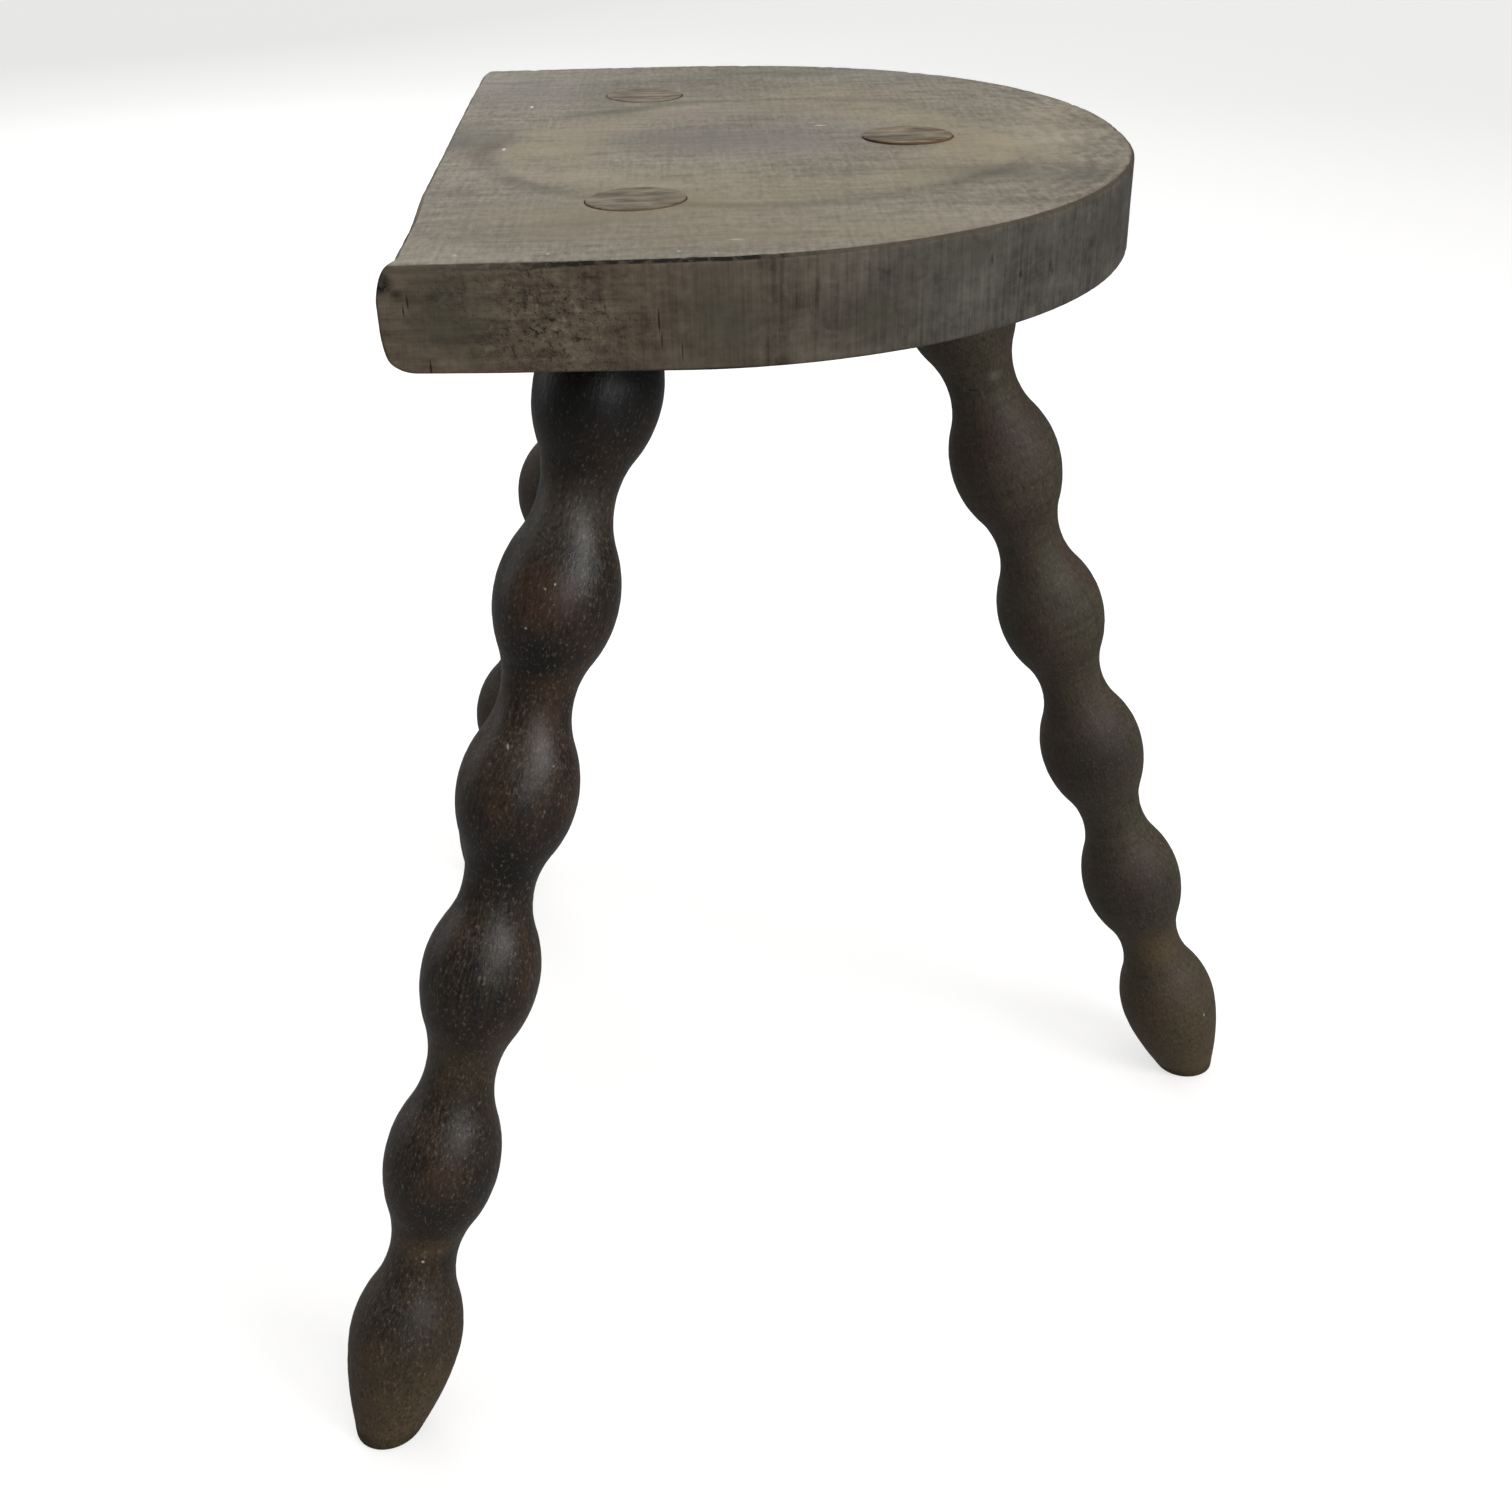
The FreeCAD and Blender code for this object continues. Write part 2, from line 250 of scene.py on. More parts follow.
# one face of the plank: rows run from the fullest line of the straight edge over its rounding and on to the
# rim, columns run across it at y = r sin t, so that the last row is the half circle x = r cos t
# gives the grid, then along its other three sides the sharp corner points, the face normals and the normals
# of the side
def plankFace(size, power, upward):
    s = seatShape
    turn = np.linspace(-math.pi / 2, math.pi / 2, s["acrossCells"] + 1)
    edgeX, edgeZ, edgeNormal = straightEdgeSection(size, power, upward)
    share = np.linspace(0, 1, s["alongCells"] + 1)[1:]
    level = edgeZ[-1]

    def spread(radius):
        flatX = edgeX[-1] + share[:, None] * (s["sideEnd"] + radius * np.cos(turn) - edgeX[-1])
        x = np.concatenate([np.repeat(edgeX[:, None], len(turn), 1), flatX])
        z = np.concatenate([np.repeat(edgeZ[:, None], len(turn), 1), np.full_like(flatX, level)])
        return np.stack([x, np.broadcast_to(radius * np.sin(turn), x.shape), z], axis=-1)

    sheet, sharp = spread(s["radius"] - s["arris"]), spread(s["radius"])
    flatNormal = np.array([0, 0, float(upward)])
    sideFace = np.concatenate([edgeNormal, np.repeat(flatNormal[None], len(share), 0)])
    sideOut = np.repeat(np.array([[0, 1.0, 0]]), len(sideFace), 0)
    roundOut = np.stack([np.cos(turn), np.sin(turn), 0 * turn], axis=-1)
    corner = np.concatenate([sharp[:-1, 0], sharp[-1], sharp[-2::-1, -1]])
    face = np.concatenate([sideFace[:-1], np.repeat(flatNormal[None], len(turn), 0), sideFace[-2::-1]])
    out = np.concatenate([-sideOut[:-1], roundOut, sideOut[-2::-1]])
    return sheet, corner, face, out


# an eased corner, a quarter circle from the face to the side: C - aF - aS + a(S sin t + F cos t)
def easedCorner(corner, face, out, turn):
    a = seatShape["arris"]
    turn = turn[:, None, None]
    return corner - a * face - a * out + a * (out * np.sin(turn) + face * np.cos(turn))


# presses the square corner of a unit cell into a quarter circle: (a sqrt(1 - b^2 / 2), b sqrt(1 - a^2 / 2))
def roundedCorner(a, b):
    a, b = np.clip(a, 0, 1), np.clip(b, 0, 1)
    return a * np.sqrt(1 - b ** 2 / 2) - a, b * np.sqrt(1 - a ** 2 / 2) - b


# age on the plank: every move depends on the place alone, so points that share a place stay together
def agePlank(points):
    s = seatShape
    x, y, z = points[:, 0], points[:, 1], points[:, 2]
    onRound = x > s["sideEnd"]
    past = np.maximum(x - s["sideEnd"], tiny)
    reach = np.where(onRound, np.hypot(past, y), np.abs(y))
    inset = np.maximum(s["radius"] - reach, 0)
    outX = np.where(onRound, past / np.maximum(reach, tiny), 0)
    outY = np.where(onRound, y / np.maximum(reach, tiny), np.sign(y))
    roundArc = s["radius"] * np.arctan2(y, past)
    straightArc = y - np.sign(y) * (x - s["sideEnd"])
    arc = np.where(onRound, roundArc, straightArc)  # distance along the rim
    strip = np.stack([arc, 0 * arc, z], axis=-1)
    start, stop = s["edgeBand"]
    nearEdge = ease(-x, -s["straightEdge"] - start, -s["straightEdge"] - stop)
    nearSide = np.exp(-inset / s["rimDepth"]) * (1 - nearEdge)
    moved = points.copy()

    # corners rubbed round: the far one seen from above, then the whole top arris
    # the far quarter swells by fuller sin^2(2 angle) (reach / radius)^power
    size = s["farCorner"]
    byX, byY = roundedCorner((s["straightEdge"] + size - x) / size, (y - s["radius"] + size) / size)
    moved[:, 0] -= size * byX
    moved[:, 1] += size * byY
    swell = s["fuller"] * np.sin(2 * np.arctan2(y, past)) ** 2
    swell = swell * (reach / s["radius"]) ** s["fullerPower"] * onRound * (y > 0)
    moved[:, 0] += swell * outX
    moved[:, 1] += swell * outY
    size = s["rimEase"] + (s["nearEase"] - s["rimEase"]) * (1 - ease(x, *s["nearEaseSpan"])) * (y < 0)
    size = size + (s["farEase"] - s["rimEase"]) * ease(y, *s["farEaseSpan"])
    byOut, byUp = roundedCorner(1 - inset / size, 1 - (s["top"] - z) / size)
    moved[:, 0] += size * byOut * outX
    moved[:, 1] += size * byOut * outY
    moved[:, 2] += size * byUp

    # the straight edge: a slow wander, and a hollow rubbed into its top by the near corner
    rubbed = ease(-y, *s["scoopFrom"]) * (1 - ease(-y, *s["scoopTo"]))
    rubbed = s["scoop"] * rubbed * ease(z, *s["scoopHeights"])
    moved[:, 0] += nearEdge * (s["edgeWander"] * wear(points, *s["wear"]["edge"]) + rubbed)
    moved[:, 2] -= nearEdge * s["scoopDrop"] * rubbed

    # the sawn rim: upright kerf ripple, and torn grain in one patch of the near side
    sink = nearSide * s["sawRipple"] * wear(strip, *s["wear"]["saw"])
    torn = ease(x, *s["tornFrom"]) * (1 - ease(x, *s["tornTo"]))
    torn = torn * ease(z, *s["tornAbove"]) * (1 - ease(z, *s["tornBelow"]))
    sink = sink + nearSide * (y < 0) * torn * s["pits"] * wear(points, *s["wear"]["torn"])

    # the top arris, knocked here and there
    gap = np.hypot(inset, s["top"] - z)
    worn = np.exp(-(gap / s["arrisReach"]) ** 2) * s["arrisWear"]
    worn = worn * wear(strip, *s["wear"]["knocks"]) * (1 - nearEdge)
    moved[:, 0] -= outX * (sink + s["wornShare"] * worn)
    moved[:, 1] -= outY * (sink + s["wornShare"] * worn)

    # top and underside: slow hollows, plane marks, and an underside that rises a little to the straight edge
    deep, shallow = s["topSkin"]
    topFace = ease(z, s["top"] - deep, s["top"] - shallow)
    shallow, deep = s["lowSkin"]
    lowFace = 1 - ease(z, s["underside"] + shallow, s["underside"] + deep)
    hollow = s["topWander"] * wear(points, *s["wear"]["hollow"])
    planing = s["planing"] * (1 + wander(points, *s["planeMarks"]))
    rise = s["wedge"] * (s["wedgeLeast"] + ease(-x, *s["wedgeSpan"]))
    rise = rise + s["edgeLift"] * ease(-x, *s["edgeLiftSpan"])
    moved[:, 2] += lowFace * (hollow + rise) - topFace * (hollow + planing) - s["wornShare"] * worn

    # the plank has cupped: cup * t^power, t from 0 at cupFrom to 1 at the near side, and nothing underneath
    t = np.clip((s["cupFrom"] - y) / (s["cupFrom"] + s["radius"]), 0, 1)
    high = np.clip((z - s["underside"]) / (s["top"] - s["underside"]), 0, 1)
    moved[:, 2] += s["cup"] * t ** s["cupPower"] * high
    return moved


def makeSeat(material):
    s = seatShape
    upper, upperCorner, upperFace, upperOut = plankFace(s["upperRound"], s["upperPower"], 1)
    lower, lowerCorner, lowerFace, lowerOut = plankFace(s["lowerRound"], s["lowerPower"], -1)
    turn = np.linspace(0, math.pi / 2, s["arrisSteps"] + 1)
    topRows = easedCorner(upperCorner, upperFace, upperOut, turn)
    lowRows = easedCorner(lowerCorner, lowerFace, lowerOut, turn[::-1])
    share = np.linspace(0, 1, s["wallRows"] + 1)[1:-1, None, None]
    wall = topRows[-1] + share * (lowRows[0] - topRows[-1])
    strip = np.concatenate([topRows, wall, lowRows])
    points, faces, count = [], [], 0
    for grid in (upper, lower, strip):
        points.append(grid.reshape(-1, 3))
        faces += gridFaces(grid.shape[0], grid.shape[1], count)
        count += grid.shape[0] * grid.shape[1]
    seat = makePiece("seatPlankWorn", agePlank(np.concatenate(points)), faces, [material])
    closeSeams(seat)
    return seat


# a slanted bore round the leg's axis to cut a mortise, squeezed across the plank's grain as the tenon is
def makeBore(leg):
    origin, down, side, cross = legAxes(leg)
    turn = np.linspace(0, 2 * math.pi, seatShape["boreColumns"] + 1)[:-1]
    radius = leg["tenon"] + seatShape["mortiseGap"]
    ring = radius * (np.cos(turn)[:, None] * side + np.sin(turn)[:, None] * cross)
    ring[:, 1] *= legShape["squeeze"]
    stations = np.array(seatShape["boreStations"])
    rings = origin + stations[:, None, None] * down + ring
    points, faces = closedRings(rings, origin + stations[0] * down, origin + stations[1] * down)
    bore = makePiece("bore", points, faces, [])
    closeSeams(bore)
    return bore


# the three mortises are cut right through the plank, then the tools are thrown away
def cutMortises(seat, bores):
    for bore in bores:
        cut = seat.modifiers.new("mortise", "BOOLEAN")
        cut.operation = "DIFFERENCE"
        cut.solver = "EXACT"
        cut.object = bore
    done = bpy.data.meshes.new_from_object(seat.evaluated_get(bpy.context.evaluated_depsgraph_get()))
    seat.modifiers.clear()
    seat.data = done
    done.set_sharp_from_angle(angle=math.radians(seatShape["sharpAngle"]))
    for bore in bores:
        bpy.data.objects.remove(bore)


legShape = {
    "squeeze": 0.92, "crestRadius": 20.0, "neckRadius": 12.0, "beadShare": 0.56,
    "upperBeads": 3, "lowerBeads": 2,  # how many of the pitches are upper and lower ones
    "footRadius": 11.3, "footPower": 1.65,  # under 2 the foot tapers straighter than a round one
    "tenonEase": 0.6, "footEase": 1.0, "easeSteps": 4, "lipRoom": 0.4, "columns": 144, "capRings": 12,
    "tenonRows": 24, "turnedRows": 360, "footRows": 44, "settleRounds": 12,
    "pressFade": (9, 2),  # the plank's press on the tenon ends between these heights over the shoulder
    "markFade": 14, "floorFade": (0.3, 6),  # marks grow over these spans of the first bead and the foot
    # marks: their depths, and the shortest and longest waves of each
    "outOfRound": 0.2, "latheLines": 0.05, "dents": 0.12,
    "ovalWaves": (60, 240), "latheWaves": (1.9, 7), "dentWaves": (5, 16),
    "endDepth": 0.8,  # faces within this of the seat's top, and above it, are the tenon's end
    "grainShift": 400, "grainPlaces": 7,  # each leg takes its grain from another length of the wood
}
legs = {  # stations run down the leg's axis from the seat's top, mm
    "round_end_leg": {
        "piece": "roundEndLegTurned", "top": (30.3, 1.1), "splay": 18.81, "turn": -0.41, "proud": 0.8,
        "shoulder": 37.5, "firstCrest": 58.6, "upperPitch": 65.65, "lowerPitch": 69.9, "floor": 435.23,
        "bow": -0.2, "thicker": 0.5, "tenon": 14.4, "seed": 31,
    },
    "square_end_leg_left": {
        "piece": "squareEndLegLeftTurned", "top": (-59.6, 85.2), "splay": 19.42, "turn": 137.9,
        "proud": 0.25, "shoulder": 37.9, "firstCrest": 55.5, "upperPitch": 63.8, "lowerPitch": 73.2,
        "floor": 436.87, "bow": 0.0, "thicker": 0.0, "tenon": 13.8, "seed": 47,
    },
    "square_end_leg_right": {
        "piece": "squareEndLegRightTurned", "top": (-60.0, -79.2), "splay": 20.056, "turn": 222.895,
        "proud": 0.82, "shoulder": 38.0, "firstCrest": 56.4, "upperPitch": 66.06, "lowerPitch": 71.9,
        "floor": 438.61, "bow": 0.65, "thicker": 0.15, "tenon": 14.6, "seed": 59,
    },
}


# where the axis meets the seat's top, the way down the leg, and the two ways across it; side leans uphill
def legAxes(leg):
    splay, turn = math.radians(leg["splay"]), math.radians(leg["turn"])
    out = np.array([math.cos(turn), math.sin(turn), 0])
    down = math.sin(splay) * out - np.array([0, 0, math.cos(splay)])
    side = math.cos(splay) * out + np.array([0, 0, math.sin(splay)])
    cross = np.cross(down, side)
    return np.array([leg["top"][0], leg["top"][1], seatShape["top"]]), down, side, cross


# radius at stations along the axis: tenon, rise to the first bead, then half intervals of two tangent arcs,
# bead r = crest - (Rb - sqrt(Rb^2 - t^2)) and neck r = neck + (Rn - sqrt(Rn^2 - u^2)), then the foot,
# r = crest - (crest - foot) (w / length)^power
def turnedRadius(leg, station):
    s = legShape
    pitches = [leg["upperPitch"]] * s["upperBeads"] + [leg["lowerPitch"]] * s["lowerBeads"]
    crests = leg["firstCrest"] + np.cumsum([0] + pitches)
    crest, narrow = s["crestRadius"] + leg["thicker"], s["neckRadius"] + leg["thicker"]
    fall = crest - narrow
    which = np.clip(np.searchsorted(crests, station) - 1, 0, len(crests) - 2)
    pitch = np.diff(crests)[which]
    along = np.clip(station - crests[which], 0, pitch)
    t = np.minimum(along, pitch - along)
    whole = ((pitch / 2) ** 2 + fall ** 2) / (2 * fall)
    beadArc, neckArc = s["beadShare"] * whole, (1 - s["beadShare"]) * whole
    bead = crest - beadArc + np.sqrt(np.maximum(beadArc ** 2 - t ** 2, 0))
    u = pitch / 2 - t
    neck = narrow + neckArc - np.sqrt(np.maximum(neckArc ** 2 - u ** 2, 0))
    radius = np.where(t < s["beadShare"] * pitch / 2, bead, neck)
    rise, height = leg["firstCrest"] - leg["shoulder"], crest - leg["tenon"]
    riseArc = (rise ** 2 + height ** 2) / (2 * height)
    v = np.clip(crests[0] - station, 0, rise)
    radius = np.where(station < crests[0], crest - riseArc + np.sqrt(riseArc ** 2 - v ** 2), radius)
    radius = np.where(station < leg["shoulder"], leg["tenon"], radius)
    drop, taper = leg["floor"] - crests[-1], crest - s["footRadius"]
    w = np.maximum(station - crests[-1], 0)
    return np.where(station > crests[-1], crest - taper * (w / drop) ** s["footPower"], radius)


# a rounded lip from a side to a level cut: the curve (1-k)^2 P + 2k(1-k) C + k^2 Q pulled to the corner C
def lip(corner, sideWay, capWay, size, steps):
    k = np.linspace(0, 1, steps + 1)[:, None, None]
    first, last = corner + size * sideWay, corner + size * capWay
    return (1 - k) ** 2 * first + 2 * k * (1 - k) * corner + k ** 2 * last


# a surface of revolution about the leg's axis whose two ends are cut level: the stations of the tenon and of
# the foot are stretched round the axis so that their last ring lies in the plane of the cut
def makeLeg(leg, materials):
    s = legShape
    origin, down, side, cross = legAxes(leg)
    turn = np.linspace(0, 2 * math.pi, s["columns"] + 1)[:-1]
    lean = math.sin(math.radians(leg["splay"])) * np.cos(turn)
    upright = math.cos(math.radians(leg["splay"]))
    lastCrest = leg["firstCrest"] + s["upperBeads"] * leg["upperPitch"] + s["lowerBeads"] * leg["lowerPitch"]
    ends = (leg["tenon"] * lean - leg["proud"]) / upright
    feet = np.full_like(turn, leg["floor"])
    for again in range(s["settleRounds"]):  # until each side of the foot meets the floor
        feet = (seatShape["top"] + turnedRadius(leg, feet) * lean) / upright

    def ringAt(station):
        radius = turnedRadius(leg, station)
        way = np.cos(turn)[:, None] * side + np.sin(turn)[:, None] * cross
        return origin + station[..., None] * down + radius[..., None] * way

    tenonShare = np.linspace(0, 1, s["tenonRows"] + 1)[:, None]
    footShare = np.linspace(0, 1, s["footRows"] + 1)[:, None]
    tenon = ringAt(ends + tenonShare * (leg["shoulder"] - ends))
    turned = ringAt(np.linspace(leg["shoulder"], lastCrest, s["turnedRows"] + 1)[1:-1, None] + 0 * turn)
    foot = ringAt(lastCrest + footShare * (feet - lastCrest))

    def unit(way):
        return way / np.linalg.norm(way, axis=-1, keepdims=True)

    endMiddle, footMiddle = tenon[0].mean(0), foot[-1].mean(0)
    endUp, endIn = unit(tenon[1] - tenon[0]), unit(endMiddle - tenon[0])
    footUp, footIn = unit(foot[-2] - foot[-1]), unit(footMiddle - foot[-1])
    endLip = lip(tenon[0], endUp, endIn, s["tenonEase"], s["easeSteps"])[::-1]
    footLip = lip(foot[-1], footUp, footIn, s["footEase"], s["easeSteps"])
    inward = np.linspace(0, 1, s["capRings"] + 1)[1:-1, None, None]
    endCap = (endLip[0] + inward * (endMiddle - endLip[0]))[::-1]
    footCap = footLip[-1] + inward * (footMiddle - footLip[-1])
    overLip = np.linalg.norm(foot[1:-1] - foot[-1], axis=-1).min(1) > s["footEase"] + s["lipRoom"]
    footSide = foot[1:-1][overLip]
    rings = np.concatenate([endCap, endLip, tenon[1:], turned, foot[:1], footSide, footLip, footCap])

    # the plank has shrunk across its grain and pressed the tenon oval, and the leg has gone a little bent
    reach = rings - origin
    station = reach @ down
    away = reach - station[..., None] * down
    start, stop = s["pressFade"]
    pressed = (s["squeeze"] - 1) * (1 - ease(station, leg["shoulder"] - start, leg["shoulder"] - stop))
    rings[..., 1] += pressed * away[..., 1]
    bent = np.sin(np.clip(station / leg["floor"], 0, 1) * math.pi)
    rings[..., 0] += leg["bow"] * bent
    away[..., 1] *= 1 + pressed
    local = np.stack([away @ side, away @ cross, station], axis=-1)
    radial = np.linalg.norm(away, axis=-1)

    # marks of the lathe and of use, sunk towards the axis
    seed = leg["seed"]
    free = ease(station, leg["shoulder"], leg["shoulder"] + s["markFade"])
    free = free * ease(rings[..., 2], *s["floorFade"])
    oval = s["outOfRound"] * wear(local, 0.5, 1, (0.5, *s["ovalWaves"], seed, (1, 1, 1.5)))
    lines = s["latheLines"] * (1 + wander(local, *s["latheWaves"], seed + 1, (60, 60, 1))) / 2
    dents = s["dents"] * wear(local, -0.7, 1.2, (1, *s["dentWaves"], seed + 2, (1, 1, 2)))
    sink = free * (oval + lines + dents)
    rings = rings - (sink / np.maximum(radial, tiny))[..., None] * away
    points, faces = closedRings(rings, endMiddle, footMiddle)
    piece = makePiece(leg["piece"], points, faces, materials)
    closeSeams(piece)

    # the place along and across the leg is kept for its grain, and the tenon's end has its own material
    mesh = piece.data
    place = np.empty(len(mesh.vertices) * 3, np.float32)
    mesh.vertices.foreach_get("co", place)
    reach = place.reshape(-1, 3) / mm - origin
    shift = s["grainShift"] * (seed % s["grainPlaces"])
    along = np.stack([reach @ side, reach @ cross, reach @ down + shift], axis=-1) * mm
    stored = mesh.attributes.new("alongLeg", "FLOAT_VECTOR", "POINT")
    stored.data.foreach_set("vector", along.astype(np.float32).ravel())
    centres = np.empty(len(mesh.polygons) * 3, np.float32)
    mesh.polygons.foreach_get("center", centres)
    isEnd = centres.reshape(-1, 3)[:, 2] > (seatShape["top"] - s["endDepth"]) * mm
    mesh.polygons.foreach_set("material_index", isEnd.astype(np.int32))
    return piece


plankLook = {
    "pale": "#938b7c", "dark": "#645d51",  # bleached ridges and the softer grey between
    "tan": "#94886e", "purple": "#726a6b", "green": "#56564c", "ring": "#574f40", "speck": "#e6e1d5",
    "bleach": "#a59d8b", "cool": "#878582", "brown": "#6f634d",
    "rimPale": "#786b5a", "rimDark": "#372c22", "rimGreen": "#484639",
    "rimPaleBlue": "#635f57", "rimDarkBlue": "#322f2a",  # the rim by the round end
    "black": "#0e0b08", "arrisBrown": "#46392b", "glint": "#8d8068",
    "underPale": "#6d6355", "underDark": "#4a4135", "shine": 0.3,
    # the closed growth figure: middle and half sizes in mm, the share of stray in its outline, its warmth
    "figure": ((-22, -8, 412), (90, 82, math.inf)), "figureStray": 0.35, "figureWarmth": 0.8,
    "ripple": ((-43.9, 0, 412), (6.5, 6.5, math.inf)),  # scraper chatter: middle and pitch, mm
    "stray": 24, "drift": 24,  # how far the outlines of the patches and of the figure swing, mm
    "grains": {
        "fine": ((30, 3.4, 3.4), 5, 0.7, 0.2), "hair": ((7, 2.6, 2.6), 3, 0.62, 0),
        "canvas": ((1.7, 5.5, 5.5), 3, 0.62, 0), "crossSaw": ((1.6, 42, 42), 3, 0.6, 0),
        "bands": ((150, 9, 9), 3, 0.5, 0.5), "blotch": ((60, 30, 30), 4, 0.6, 0),
        "cloud": ((26, 17, 17), 4, 0.62, 0.5), "stray": ((30, 20, 20), 3, 0.6, 0),
        "drift": ((90, 60, 60), 1, 0.5, 0),
        "kerf": ((1.3, 1.3, 26), 4, 0.65, 0), "columns": ((15, 15, 80), 2, 0.5, 0),
        "stain": ((24, 24, 13), 4, 0.62, 0.4), "flow": ((22, 22, 1.6), 4, 0.6, 0.4),
        "torn": ((1.7, 1.7, 1.4), 2, 0.62, 0), "scuff": ((4, 4, 3), 4, 0.6, 0.6),
    },
    # what each layer adds to the tone of the top and of the rim, and to their height in mm
    "faceTone": {
        "fine": 0.28, "hair": 0.24, "canvas": 0.42, "crossSaw": 0.22, "bands": 0.12, "blotch": 0.24,
        "cloud": 0.26,
    },
    "rimTone": {"columns": 0.2, "stain": 0.5, "scuff": 0.34}, "rimLines": 0.42,
    "faceHeight": {"fine": 0.12, "crossSaw": 0.1}, "rimHeight": {"kerf": 0.15}, "flawHeight": -0.5,
    # the casts in the order in which they lie, with the most that each covers
    "casts": {"tan": 0.5, "bleach": 0.6, "brown": 0.6, "cool": 0.6, "purple": 0.6, "green": 0.8},
    # soft patches on the top: x, y, half x and half y in mm, then strength, and how deep they all reach
    "patchDepth": 20,
    "topPatches": {
        "green": [
            (-121, 16, 24, 34, 1.1), (52, -52, 34, 18, 0.9), (74, -62, 24, 18, 1.0), (-5, 126, 60, 18, 0.6),
            (-54, 8, 52, 30, 0.62), (-2, -92, 76, 6, 0.25), (-84, -63, 24, 6, 0.5), (-40, 70, 70, 8, 0.4),
            (-70, -104, 40, 12, 0.5), (-110, 118, 24, 7, 0.7), (-34, 88, 40, 18, 0.5),
            (-74, 84, 28, 74, 0.6), (-40, 112, 36, 26, 0.7),
        ],
        "purple": [(-18, 4, 64, 44, 1.25), (-32, 50, 56, 18, 0.6), (-106, 92, 34, 50, 0.8)],
        "tan": [
            (-84, 4, 46, 34, 0.65), (-42, -48, 60, 20, 0.8), (62, -16, 30, 46, 1.0),
            (-8, -124, 96, 16, 0.7), (6, 86, 64, 22, 0.7), (84, 20, 18, 44, 0.5), (-56, -96, 70, 40, 1.1),
        ],
        "bleach": [(76, 6, 32, 60, 0.8), (20, -112, 60, 20, 0.2), (-84, 2, 34, 26, 0.2)],
        "brown": [
            (-82, -114, 50, 28, 0.9), (-40, -122, 54, 22, 0.8), (6, -118, 50, 18, 0.4),
            (-72, -92, 60, 40, 0.8),
        ],
        "cool": [(-102, 118, 44, 40, 0.6), (44, 112, 60, 30, 0.6)],
        # where the growth figure's outline shows
        "outline": [
            (-116, -4, 40, 50, 1.05), (-94, -54, 56, 36, 0.9), (-20, -88, 90, 28, 0.65),
            (58, -58, 60, 40, 0.95), (-70, 60, 70, 34, 0.8), (24, 66, 60, 26, 0.5),
        ],
    },
    # soft patches on the rim: middle and half sizes in mm, then strength
    "rimPatches": {
        "moss": [
            ((-111, -147, 399), (20, 12, 18), 0.8), ((-38, -147, 396), (16, 12, 26), 0.6),
            ((8, -138, 392), (15, 15, 14), 0.6), ((38, -123, 407), (16, 16, 7), 0.5),
            ((84, -70, 398), (20, 20, 20), 0.5),
        ],
        "torn": [((-84, -147, 396), (34, 12, 26), 1.3), ((-108, -147, 404), (20, 12, 12), 0.5)],
    },
    # small marks that keep their outline, given in the same way
    "marks": {
        "black": [
            ((-126.2, -146, 408.4), (4.6, 7, 5.0), 1.4), ((-122.4, -147, 405.4), (3.4, 4, 2.2), 0.8),
            ((-40, -147, 382.6), (30, 2.4, 0.9), 0.9), ((-113, -147, 404.5), (3.2, 3, 1.8), 0.5),
        ],
        "crack": [
            ((-119.9, -147.4, 403.4), (0.5, 2, 3.0), 0.6), ((-121.2, -147.4, 400.8), (0.45, 2, 2.2), 0.5),
            ((-115.6, -147.4, 385.0), (0.45, 2, 3.4), 0.8), ((-53.5, -147.4, 396.5), (0.5, 2, 4.6), 0.7),
            ((-52.9, -147.4, 391), (0.4, 2, 3.4), 0.5), ((-47.5, -147.4, 388), (0.4, 2, 4), 0.4),
            ((40.1, -121.3, 403), (0.7, 1.6, 2.4), 0.6), ((49.9, -113.9, 396.6), (0.7, 1.6, 2.2), 0.7),
            ((60.2, -104.6, 396.6), (1.0, 1.6, 2.6), 0.6), ((61.0, -103.8, 394.4), (0.7, 1.4, 1.8), 0.5),
            ((-11, -144, 399), (1.4, 2.4, 2.4), 0.35),
        ],
        "speck": [
            ((-100.8, 68.4, 412), (0.9, 2.2, 2), 1.0), ((-105.3, -2.6, 412), (0.9, 2.2, 2), 1.0),
            ((2.2, 23.4, 412), (3.2, 1.6, 2), 0.45), ((-107.3, -137.3, 412), (0.8, 1.6, 2), 0.45),
            ((-82.4, -137.8, 412), (0.8, 1.6, 2), 0.5), ((-47.3, -139.4, 412), (1.0, 1.6, 2), 0.5),
            ((-31.7, -128.7, 412), (3.6, 1.4, 2), 0.4), ((-37.5, -142.3, 412), (0.9, 1.6, 2), 0.4),
            # the long last one, along the straight edge's top arris, is a painted highlight
            ((-127.4, 46, 411.4), (2.0, 66, 2.6), 0.45),
        ],
    },
}


